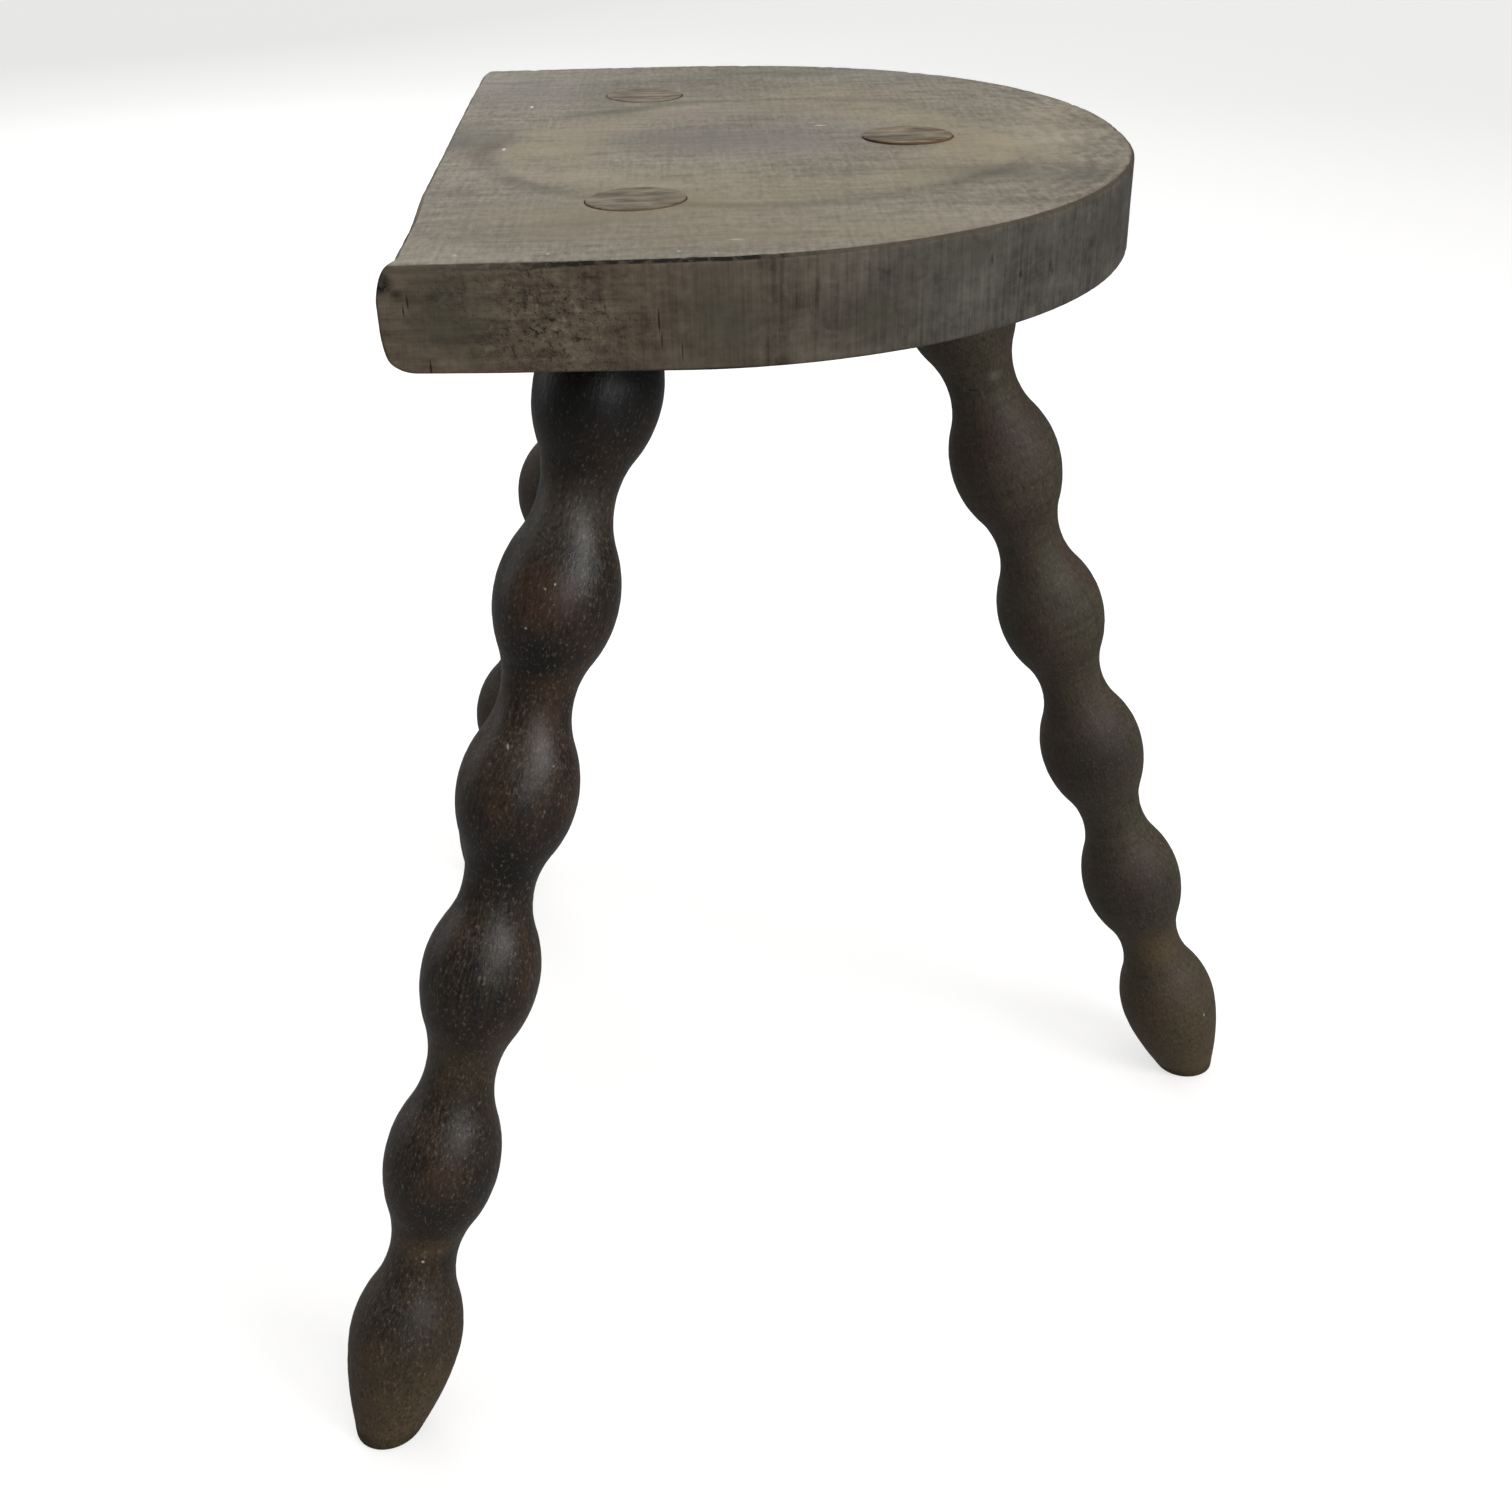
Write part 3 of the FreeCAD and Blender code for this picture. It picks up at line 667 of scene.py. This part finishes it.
# an old plank of pale hardwood, planed, then left to weather: a grey bleached face with fine streaks along
# the grain, faint marks of the saw across it, a closed growth figure, and tan, purple and green casts where
# it stayed dry or damp; its sawn rim is a darker brown with upright kerf lines, and all of it is dull
# the finest streaks are drawn a little coarse to show
def weatheredPlank():
    look = plankLook
    material, add = emptyMaterial("weatheredHardwoodPlank")
    place = add("TexCoord").outputs["Object"]
    alongX, alongY = add("SeparateXYZ", [place]).outputs[:2]
    lift = add("SeparateXYZ", [add("NewGeometry").outputs["Normal"]]).outputs["Z"]
    faceUp = add("MapRange SMOOTHSTEP", [lift, 0.92, 0.985])
    faceDown = add("MapRange SMOOTHSTEP", [lift, -0.3, -0.85])
    grain = grainLayers(add, place, look["grains"])
    swing = {}
    for name in ("stray", "drift"):
        centred = add("VectorMath SUBTRACT", [grain[name].outputs["Color"], [0.5, 0.5, 0.5]])
        swing[name] = add("VectorMath SCALE", [centred, look[name] * mm])
    loose = add("VectorMath ADD", [place, swing["stray"]])
    patches = dict(look["rimPatches"])
    for name, spots in look["topPatches"].items():
        patches[name] = [
            ((x, y, seatShape["top"]), (halfX, halfY, look["patchDepth"]), strength)
            for x, y, halfX, halfY, strength in spots]
    patch = spotMasks(add, loose, patches)
    mark = spotMasks(add, place, look["marks"])

    # the weathered face: streaks, saw lines and chatter first
    tone = weightedSum(add, grain, look["faceTone"])
    pitches = farness(add, loose, *look["ripple"])
    waves = add("Math MULTIPLY", [pitches, 2 * math.pi])
    waves = add("Math SINE", [waves])
    byEnd = add("MapRange", [alongX, 50 * mm, 80 * mm, 0, 0.12])
    byEnd = add("Math MULTIPLY", [byEnd, grain["cloud"]])
    tone = add("Math MULTIPLY_ADD", [waves, byEnd, tone])
    share = add("MapRange", [tone, 0.74, 1.06])
    face = add("Mix RGBA", [share, look["dark"], look["pale"]])

    # then the growth figure, warm within a thin dark outline, and the casts
    smooth = add("VectorMath SCALE", [swing["stray"], look["figureStray"]])
    smooth = add("VectorMath ADD", [place, smooth])
    smooth = add("VectorMath ADD", [smooth, swing["drift"]])
    oval = farness(add, smooth, *look["figure"])
    warm = add("MapRange SMOOTHSTEP", [oval, 0.5, 0.75])
    within = add("MapRange", [oval, 0.99, 0.92])
    warm = add("Math MULTIPLY", [warm, within])
    patch["tan"] = add("Math MULTIPLY_ADD", [warm, look["figureWarmth"], patch["tan"]])
    ring = add("Math SUBTRACT", [oval, 1.0])
    ring = add("Math ABSOLUTE", [ring])
    ring = add("MapRange SMOOTHSTEP", [ring, 0.09, 0.0])
    broken = add("MapRange", [grain["cloud"], 0.36, 0.6, 0.35, 0.8])
    broken = add("Math MULTIPLY", [broken, patch["outline"]], use_clamp=True)
    ring = add("Math MULTIPLY", [ring, broken])
    clouded = add("MapRange", [grain["cloud"], 0.34, 0.6, 0.45])
    for cast, most in look["casts"].items():
        share = add("Math MULTIPLY", [patch[cast], clouded])
        share = add("Math MULTIPLY", [share, most], use_clamp=True)
        face = add("Mix RGBA", [share, face, look[cast]])
    face = add("Mix RGBA", [ring, face, look["ring"]])

    # the sawn rim: kerf lines, weaker by the straight edge where the grain runs level
    sawn = add("MapRange", [alongX, -85 * mm, -30 * mm, 0.02, look["rimLines"]])
    level = add("Math SUBTRACT", [look["rimLines"], sawn])
    rimTone = weightedSum(add, grain, look["rimTone"])
    for layer, weight in (("kerf", sawn), ("flow", level)):
        rimTone = add("Math MULTIPLY_ADD", [grain[layer], weight, rimTone])
    share = add("MapRange", [rimTone, 0.55, 0.91])
    blue = add("MapRange", [alongX, -60 * mm, 30 * mm])
    rimDark = add("Mix RGBA", [blue, look["rimDark"], look["rimDarkBlue"]])
    rimPale = add("Mix RGBA", [blue, look["rimPale"], look["rimPaleBlue"]])
    rim = add("Mix RGBA", [share, rimDark, rimPale])
    # the torn grain: its pits painted black as painted shade in the hollows, and pale glints between them as
    # painted highlights
    pitted = add("MapRange", [grain["torn"], 0.53, 0.72, 0, 0.6])
    pitted = add("Math MULTIPLY", [patch["torn"], pitted], use_clamp=True)
    glint = add("MapRange", [grain["torn"], 0.42, 0.26, 0, 0.6])
    glint = add("Math MULTIPLY", [patch["torn"], glint], use_clamp=True)
    for share, over in ((patch["moss"], "rimGreen"), (pitted, "black"), (glint, "glint")):
        rim = add("Mix RGBA", [share, rim, look[over]])

    under = add("MapRange", [tone, 0.75, 1.15])
    under = add("Mix RGBA", [under, look["underDark"], look["underPale"]])
    colour = add("Mix RGBA", [faceUp, rim, face])
    colour = add("Mix RGBA", [faceDown, colour, under])

    # the top arris: rubbed brown by the round end, with a broken black line along it on the near side
    turned = add("MapRange", [lift, 0.3, 0.6])
    notFlat = add("MapRange", [lift, 0.97, 0.9])
    arris = add("Math MULTIPLY", [turned, notFlat])
    byEnd = add("MapRange", [alongX, -30 * mm, 30 * mm, 0, 0.7])
    rubbed = add("Math MULTIPLY", [arris, byEnd])
    ragged = add("MapRange", [grain["scuff"], 0.36, 0.52, 0.25])
    blackMarks = add("MapRange", [alongX, -115 * mm, -70 * mm, 0.4, 1.1])
    ends = add("MapRange", [alongX, 10 * mm, -30 * mm])
    near = add("MapRange", [alongY, -100 * mm, -130 * mm])
    for limit in (ends, near, arris):
        blackMarks = add("Math MULTIPLY", [blackMarks, limit])
    blackMarks = add("Math MAXIMUM", [blackMarks, mark["black"]])
    blackMarks = add("Math MULTIPLY", [blackMarks, ragged], use_clamp=True)

    # over it cracks and pale specks, and a pale line along the straight edge's top arris that is a painted
    # highlight
    blackMarks = add("Math MAXIMUM", [blackMarks, mark["crack"]], use_clamp=True)
    for share, over in ((rubbed, "arrisBrown"), (blackMarks, "black"), (mark["speck"], "speck")):
        colour = add("Mix RGBA", [share, colour, look[over]])

    # heights in mm
    height = weightedSum(add, grain, look["faceHeight"])
    rimHeight = weightedSum(add, grain, look["rimHeight"])
    for flaw in (pitted, mark["crack"]):
        rimHeight = add("Math MULTIPLY_ADD", [flaw, look["flawHeight"], rimHeight])
    level = add("Mix FLOAT", [faceUp, rimHeight, height])
    dull = add("MapRange", [grain["fine"], 0.3, 0.7, 0.85, 0.72])
    finishMaterial(add, colour, dull, level, look["shine"])
    return material


legLook = {
    "black": "#0d0a07", "brown": "#392817", "warm": "#3f2a1b", "olive": "#4a4331", "russet": "#41342b",
    # the near black at the end of this line darkens the pores and lays painted shade under the seat
    "foot": "#57472d", "dust": "#5a544b", "fleck": "#8a7d6a", "speck": "#d8d2c4", "shadeAndStainBlack": "#060505",
    "grains": {
        "flecks": ((0.85, 0.85, 1.6), 2, 0.6, 0.3), "pores": ((1.0, 1.0, 6.0), 3, 0.62, 0),
        "streak": ((3.0, 3.0, 50), 3, 0.55, 0), "blotch": ((20, 20, 34), 4, 0.6, 0),
        "rings": ((60, 60, 2.2), 3, 0.6, 0.2),
    },
    # what each layer adds to the tone, and to the height in mm
    "tone": {"pores": 0.35, "streak": 0.25, "blotch": 0.4},
    "height": {"pores": 0.12, "flecks": 0.1, "rings": 0.05}, "shine": 0.45,
    # patches and specks: middle and half sizes in mm, then strength
    "spots": {
        "warm": [((-95, -126, 306), (17, 18, 16), 1.5), ((-104, -130, 230), (14, 18, 18), 0.5)],
        "dark": [
            ((-99, -128, 285), (26, 20, 14), 1.3), ((-111, -143, 219), (26, 20, 16), 0.8),
            ((-144, -172, 99), (26, 22, 16), 0.8), ((-156, -184, 58), (26, 18, 16), 0.6),
            # the next two, broad over the fourth and fifth beads of the round end's leg, are painted shade
            ((113, -16, 174), (26, 22, 26), 0.6), ((136, -16, 108), (26, 22, 24), 0.4),
            ((54.6, -10.8, 326.7), (3.0, 5, 0.6), 1.2), ((137.2, -17.1, 89.7), (2.2, 5, 0.8), 1.0),
            ((148, -12.1, 71.1), (2.2, 5, 0.8), 0.8),
        ],
        "ash": [((-88, -106, 326), (26, 26, 20), 0.55), ((-96, -120, 290), (14, 16, 14), 0.3)],
        "worn": [
            ((-131, -145, 147), (26, 26, 22), 0.6), ((-149, -174, 80), (22, 18, 9), 0.6),
            # the last, at the lowest neck of the round end's leg, is pale worn wood made stronger as painted
            # fill light on a neck in shade
            ((147, -14, 74), (24, 20, 16), 0.9),
        ],
        "speck": [
            ((-149.2, -175, 76.2), (0.8, 4, 0.8), 0.9), ((-88.9, -124.2, 309.2), (0.6, 3, 0.6), 0.7),
            ((-92, -124.9, 307.9), (0.55, 3, 0.55), 0.5), ((-98.8, -126.4, 295.7), (0.6, 3, 0.6), 0.7),
            ((-107.2, -132.5, 257.2), (0.6, 3, 1.2), 0.5), ((-93.3, -132.7, 250.1), (0.55, 3, 0.55), 0.4),
            ((62, -11, 332), (5.0, 6, 3.0), 0.08), ((169.7, -16.3, 40.2), (0.6, 4, 1.0), 0.6),
        ],
    },
}


# turned beech under an old black-brown stain, waxed by handling: near black under the seat, a darker stain
# with painted shade over it, brown where it is rubbed through, greyer and more olive on the leg that stood
# in the weather, paler and matt by the feet, with a soft satin gleam, and short flecks and open pores along
# the grain, drawn a little coarse to show
def stainedTurning():
    look = legLook
    material, add = emptyMaterial("blackStainedTurnedBeech")
    along = add("Attribute", attribute_name="alongLeg").outputs["Vector"]
    place = add("TexCoord").outputs["Object"]
    alongX, alongY, up = add("SeparateXYZ", [place]).outputs
    lift = add("SeparateXYZ", [add("NewGeometry").outputs["Normal"]]).outputs["Z"]
    grain = grainLayers(add, along, look["grains"])
    spot = spotMasks(add, place, look["spots"])

    # the round end's leg is weathered, the far one half as much, and the feet of all three
    bleached = add("MapRange", [alongX, -20 * mm, 10 * mm])
    farLeg = add("MapRange", [alongY, 30 * mm, 50 * mm, 0, 0.5])
    bleached = add("Math MAXIMUM", [bleached, farLeg])
    low = add("MapRange", [up, 80 * mm, 10 * mm])
    matt = add("Math MAXIMUM", [bleached, low])

    # the stain, rubbed warm in places, and the olive and russet of the weathered wood
    tone = weightedSum(add, grain, look["tone"])
    share = add("MapRange", [tone, 0.38, 0.66])
    colour = add("Mix RGBA", [share, look["black"], look["brown"]])
    warm = add("MapRange", [grain["blotch"], 0.5, 0.66, 0, 0.7])
    warm = add("Math MAXIMUM", [warm, spot["warm"]])
    banded = add("Math MULTIPLY_ADD", [grain["rings"], 0.4, tone])
    clear = add("MapRange", [banded, 0.5, 0.8, 0.3, 0.95])
    weathered = add("Math MULTIPLY", [bleached, clear])
    share = add("MapRange", [grain["blotch"], 0.42, 0.58])
    green = add("Mix RGBA", [share, look["olive"], look["russet"]])
    faded = add("Math MULTIPLY", [low, clear])

    # dust in the pores that face up, less of it on matt wood
    dusty = add("MapRange", [lift, 0.0, 0.8])
    inPores = add("MapRange", [grain["pores"], 0.45, 0.6, 0.05, 0.35])
    waxed = add("MapRange", [matt, 0, 1, 1.0, 0.35])
    for limit in (inPores, waxed):
        dusty = add("Math MULTIPLY", [dusty, limit])

    # painted shade under the seat on the two dark legs, over their darker stain, then pores and flecks
    shadeAndStainBlack = add("MapRange", [up, 327 * mm, 362 * mm, 0, 0.92])
    dark = add("Math SUBTRACT", [1.0, bleached])
    shadeAndStainBlack = add("Math MULTIPLY", [shadeAndStainBlack, dark])
    hole = add("MapRange", [grain["flecks"], 0.46, 0.32, 0, 0.7])
    smooth = add("MapRange", [bleached, 0, 1, 1.0, 0.7])
    hole = add("Math MULTIPLY", [hole, smooth])
    fleck = add("MapRange", [grain["flecks"], 0.58, 0.74, 0, 0.42])
    clean = add("Math MAXIMUM", [shadeAndStainBlack, bleached])
    clean = add("MapRange", [clean, 0, 1, 1.0, 0.5])
    fleck = add("Math MULTIPLY", [fleck, clean])

    # all of it laid on from the first to the last
    layers = (
        (warm, look["warm"]), (spot["ash"], look["dust"]), (weathered, green), (faded, look["foot"]),
        (spot["dark"], look["black"]), (spot["worn"], look["foot"]), (dusty, look["dust"]),
        (shadeAndStainBlack, look["shadeAndStainBlack"]), (hole, look["shadeAndStainBlack"]), (fleck, look["fleck"]), (spot["speck"], look["speck"]),
    )
    for share, over in layers:
        colour = add("Mix RGBA", [share, colour, over])

    height = weightedSum(add, grain, look["height"])
    gleam = add("MapRange", [grain["pores"], 0.3, 0.7, 0.36, 0.52])
    gleam = add("Math MULTIPLY_ADD", [matt, 0.24, gleam])
    finishMaterial(add, colour, gleam, height, look["shine"])
    return material


tenonLook = {
    "pale": "#857963", "dark": "#4a4032", "wall": "#5e412b",
    "grains": {"streak": ((16, 3.2, 3.2), 4, 0.65, 0.5), "blotch": ((10, 7, 7), 2, 0.5, 0)},
    "tone": {"streak": 0.7, "blotch": 0.3},
    "height": {"streak": 0.12}, "rough": 0.75, "shine": 0.35,
}


# the sawn end of a tenon, weathered with the seat but a shade browner, with streaks and a red-brown wall
def tenonEnd():
    look = tenonLook
    material, add = emptyMaterial("weatheredTenonEnd")
    place = add("TexCoord").outputs["Object"]
    lift = add("SeparateXYZ", [add("NewGeometry").outputs["Normal"]]).outputs["Z"]
    grain = grainLayers(add, place, look["grains"])
    tone = weightedSum(add, grain, look["tone"])
    share = add("MapRange", [tone, 0.4, 0.62])
    face = add("Mix RGBA", [share, look["dark"], look["pale"]])
    faceUp = add("MapRange", [lift, 0.4, 0.9])
    colour = add("Mix RGBA", [faceUp, look["wall"], face])
    height = weightedSum(add, grain, look["height"])
    finishMaterial(add, colour, look["rough"], height, look["shine"])
    return material


stageShape = {
    "flatRadius": 2.4, "cornerRadius": 1.2, "wallHeight": 3.0, "hub": 0.05,  # metres
    "columns": 96, "flatRings": 24, "cornerSteps": 12,
    "colour": "#c4c3c1", "glow": "#ffffff", "glowStrength": 0.62,
    "worldColour": "#ffffff", "worldStrength": 0.14,
    "lights": [
        # name, place, aim, width and height in metres, watts
        ("overheadSoftbox", (0.1, 0.15, 2.1), (0, 0, 0.3), 2.2, 2.2, 24.5),
        ("rightSoftbox", (1.6, -1.2, 1.3), (0, 0, 0.25), 0.9, 0.9, 23),
        ("leftSoftbox", (-1.9, 0.5, 0.9), (0, 0, 0.25), 0.8, 1.4, 4),
        ("backSoftbox", (-0.8, 2.1, 1.2), (0, 0, 0.25), 1.2, 1.2, 17),
        ("floorBounce", (0, 0, 0.004), (0, 0, 1), 2.0, 2.0, 1.8),
        ("frontFill", (0.9, -2.2, 1.1), (0, 0, 0.25), 1.2, 1.2, 13),
    ],
}


# a round sweep: flat floor, a quarter circle and an upright wall, revolved; it lights nothing back
def makeStage():
    s = stageShape
    turn = np.linspace(0, math.pi / 2, s["cornerSteps"] + 1)
    flat, corner, columns = s["flatRadius"], s["cornerRadius"], s["columns"]
    level = np.linspace(s["hub"], flat, s["flatRings"])
    reach = np.concatenate([level, flat + corner * np.sin(turn)[1:], [flat + corner]])
    height = np.concatenate([0 * level, corner * (1 - np.cos(turn))[1:], [s["wallHeight"]]])
    around = np.linspace(0, 2 * math.pi, columns + 1)[:-1]
    rings = np.stack([
        reach[:, None] * np.cos(around), reach[:, None] * np.sin(around),
        np.broadcast_to(height[:, None], (len(height), columns))], axis=-1)
    points = np.concatenate([rings.reshape(-1, 3), [[0, 0, 0]]]) / mm
    first = np.arange(columns)
    fan = np.stack([np.full(columns, len(points) - 1), np.roll(first, -1), first], axis=-1).tolist()
    material, add = emptyMaterial("palePaperSweep")
    surface = add("BsdfPrincipled", {
        "Base Color": s["colour"], "Roughness": 0.9, "Specular IOR Level": 0.1,
        "Emission Color": s["glow"], "Emission Strength": s["glowStrength"]})
    add("OutputMaterial", {"Surface": surface})
    floor = makePiece("paperSweep", points, gridFaces(len(reach), columns, 0, True) + fan, [material])
    floor.visible_diffuse = False
    floor.visible_glossy = False

    world = bpy.data.worlds.new("dimRoom")
    world.use_nodes = True
    bpy.context.scene.world = world
    world.node_tree.nodes.clear()
    glow = addNode(world.node_tree, "Background", {
        "Color": s["worldColour"], "Strength": s["worldStrength"]})
    addNode(world.node_tree, "OutputWorld", {"Surface": glow})
    for name, place, aim, width, tall, watts in s["lights"]:
        lamp = bpy.data.lights.new(name, "AREA")
        lamp.shape = "RECTANGLE"
        lamp.size, lamp.size_y, lamp.energy = width, tall, watts
        holder = bpy.data.objects.new(name, lamp)
        holder.location = place
        holder.rotation_euler = (Vector(aim) - Vector(place)).to_track_quat("-Z", "Y").to_euler()
        holder.visible_camera = False
        bpy.context.scene.collection.objects.link(holder)


cameraView = {
    "place": (-43.99, -611.27, 537.53), "yaw": 0.03128, "pitch": 0.53972, "roll": 0.018575,  # mm, radians
    "focalPixels": 1753.4, "framePixels": 1512, "sensor": 36.0,  # sensor in mm
    "clip": (0.02, 50),  # metres
}


# a pinhole camera from its place and its yaw, pitch and roll
def makeCamera():
    c = cameraView
    level = math.cos(c["pitch"])
    forward = Vector((math.sin(c["yaw"]) * level, math.cos(c["yaw"]) * level, -math.sin(c["pitch"])))
    levelRight = Vector((math.cos(c["yaw"]), -math.sin(c["yaw"]), 0))
    levelDown = forward.cross(levelRight)
    right = math.cos(c["roll"]) * levelRight + math.sin(c["roll"]) * levelDown
    down = math.cos(c["roll"]) * levelDown - math.sin(c["roll"]) * levelRight
    lens = bpy.data.cameras.new("photoView")
    lens.sensor_width = c["sensor"]
    lens.lens = c["focalPixels"] / c["framePixels"] * c["sensor"]
    lens.clip_start, lens.clip_end = c["clip"]
    camera = bpy.data.objects.new("photoView", lens)
    turned = Matrix((right, -down, -forward)).transposed().to_4x4()
    camera.matrix_world = Matrix.Translation(Vector(c["place"]) * mm) @ turned
    bpy.context.scene.collection.objects.link(camera)
    bpy.context.scene.camera = camera


seatPiece = makeSeat(weatheredPlank())
cutMortises(seatPiece, [makeBore(leg) for leg in legs.values()])
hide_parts("seat_plank")
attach(seatPiece, "root")
print("seat plank:", len(seatPiece.data.polygons), "faces")

legFinish = [stainedTurning(), tenonEnd()]
for node, leg in legs.items():
    legPiece = makeLeg(leg, legFinish)
    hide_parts(node)
    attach(legPiece, "root")
    print(leg["piece"] + ":", len(legPiece.data.polygons), "faces")

makeStage()
makeCamera()
bpy.context.scene.view_settings.view_transform = "Standard"
print("stage, lights and camera ready")
